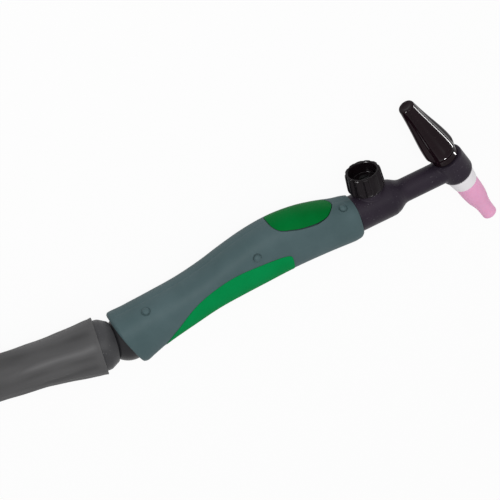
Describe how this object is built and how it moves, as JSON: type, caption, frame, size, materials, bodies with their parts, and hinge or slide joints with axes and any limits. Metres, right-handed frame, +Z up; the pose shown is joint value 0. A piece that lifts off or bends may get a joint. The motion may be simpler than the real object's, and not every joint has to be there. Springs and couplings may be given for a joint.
{
  "type": "tig torch",
  "caption": "Air-cooled TIG welding torch with gas valve knob, long back cap, ceramic nozzle, two-shell handle with push button, ball swivel, covered cable and current plug.",
  "frame": {"origin": "bottom centre of the box round torch, swivel and cuff as they lie on the floor; cable cover, cable, coil and plug left out", "axes": "+X along the handle towards the torch head, +Y from the handle's belly to its button, the way the back cap points, +Z up, out of the torch's left side"},
  "size_m": [0.7424, 0.4125, 0.063],
  "materials": {
    "body_black": "moulded, satin with fine moulding texture",
    "cap_black": "moulded, glossy",
    "knob_black": "moulded, satin",
    "gasket_white": "turned fluoropolymer, matt",
    "alumina_pink": "pressed alumina, unglazed",
    "copper": "turned copper",
    "brass": "turned brass",
    "tungsten": "ground",
    "steel": "zinc plated",
    "screw_black": "blackened",
    "handle_grey": "moulded, satin, fine erosion texture",
    "grip_green": "soft moulded, matt with fine dimples",
    "button_green": "moulded, satin",
    "seal_black": "moulded",
    "switch_black": "moulded",
    "plunger_white": "moulded",
    "ball_black": "moulded, satin",
    "cuff_grey": "moulded, matt",
    "cover_grey": "dyed split leather sleeve, matt",
    "cable_black": "extruded",
    "strap_black": "woven strap",
    "plug_black": "moulded"
  },
  "bodies": {
    "cable": {"cable_cuff": "cuff_grey", "cable_cover": "cover_grey", "cover_boot": "cable_black", "power_cable": "cable_black", "cable_coil": "cable_black", "cable_ties": "strap_black", "plug_lead": "cable_black", "plug_boot": "plug_black", "plug_body": "plug_black", "plug_pin": "brass", "plug_contacts": "brass"},
    "swivel": {"swivel_ball": "ball_black", "swivel_ring": "steel"},
    "torch": {"torch_body": "body_black", "head_core": "brass", "neck_tube": "copper", "cup_gasket": "gasket_white", "nozzle": "alumina_pink", "collet_body": "copper", "collet": "copper", "valve_body": "brass", "handle_left": "handle_grey", "handle_right": "handle_grey", "handle_screws": "steel", "grip_pad_left": "grip_green", "grip_pad_right": "grip_green", "trigger_pin": "steel", "microswitch": "switch_black", "hose_fitting": "brass", "inner_hose": "cable_black", "crimp_ferrule": "steel"},
    "button": {"trigger": "button_green"},
    "plunger": {"switch_plunger": "plunger_white"},
    "cap_seal": {"back_cap_o_ring": "seal_black"},
    "cap": {"back_cap": "cap_black"},
    "valve_seal": {"valve_o_ring": "seal_black"},
    "valve": {"valve_knob": "knob_black", "valve_stem": "brass", "knob_screw": "screw_black"},
    "rod": {"electrode": "tungsten"}
  },
  "joints": [
    {"name": "swivel_turn", "type": "hinge", "parent": "cable", "child": "swivel", "pos_m": [-0.124, -0.0162, 0.019], "axis": [0.9863, -0.165, 0], "continuous": true},
    {"name": "swivel_swing", "type": "hinge", "parent": "swivel", "child": "torch", "pos_m": [-0.124, -0.0162, 0.019], "axis": [0, 0, 1], "range_deg": [-38, 1.5]},
    {"name": "button_press", "type": "hinge", "parent": "torch", "child": "button", "pos_m": [0.004, 0.015, 0.019], "axis": [0, 0, -1], "range_deg": [0, 1.2], "stiffness_Nm_per_rad": 4, "springref_deg": -1.15},
    {"name": "plunger_slide", "type": "slide", "parent": "torch", "child": "plunger", "axis": [0, -1, 0], "range_m": [0, 0.0006]},
    {"name": "cap_lift", "type": "slide", "parent": "torch", "child": "cap_seal", "axis": [-0.342, 0.9397, 0], "range_m": [0, 0.005]},
    {"name": "cap_turn", "type": "hinge", "parent": "cap_seal", "child": "cap", "pos_m": [0.13632, 0.03159, 0.019], "axis": [-0.342, 0.9397, 0], "range_deg": [0, 1440]},
    {"name": "valve_lift", "type": "slide", "parent": "torch", "child": "valve_seal", "axis": [0, 1, 0], "range_m": [0, 0.0015]},
    {"name": "valve_turn", "type": "hinge", "parent": "valve_seal", "child": "valve", "pos_m": [0.0805, 0.012, 0.019], "axis": [0, 1, 0], "range_deg": [0, 540]},
    {"name": "electrode_slide", "type": "slide", "parent": "torch", "child": "rod", "axis": [0.342, -0.9397, 0], "range_m": [0, 0.012]}
  ],
  "couplings": [
    {"joint": "plunger_slide", "follows": "button_press", "m_per_rad": 0.0265},
    {"joint": "cap_lift", "follows": "cap_turn", "m_per_rad": 0.00019894},
    {"joint": "valve_lift", "follows": "valve_turn", "m_per_rad": 0.00015915}
  ]
}
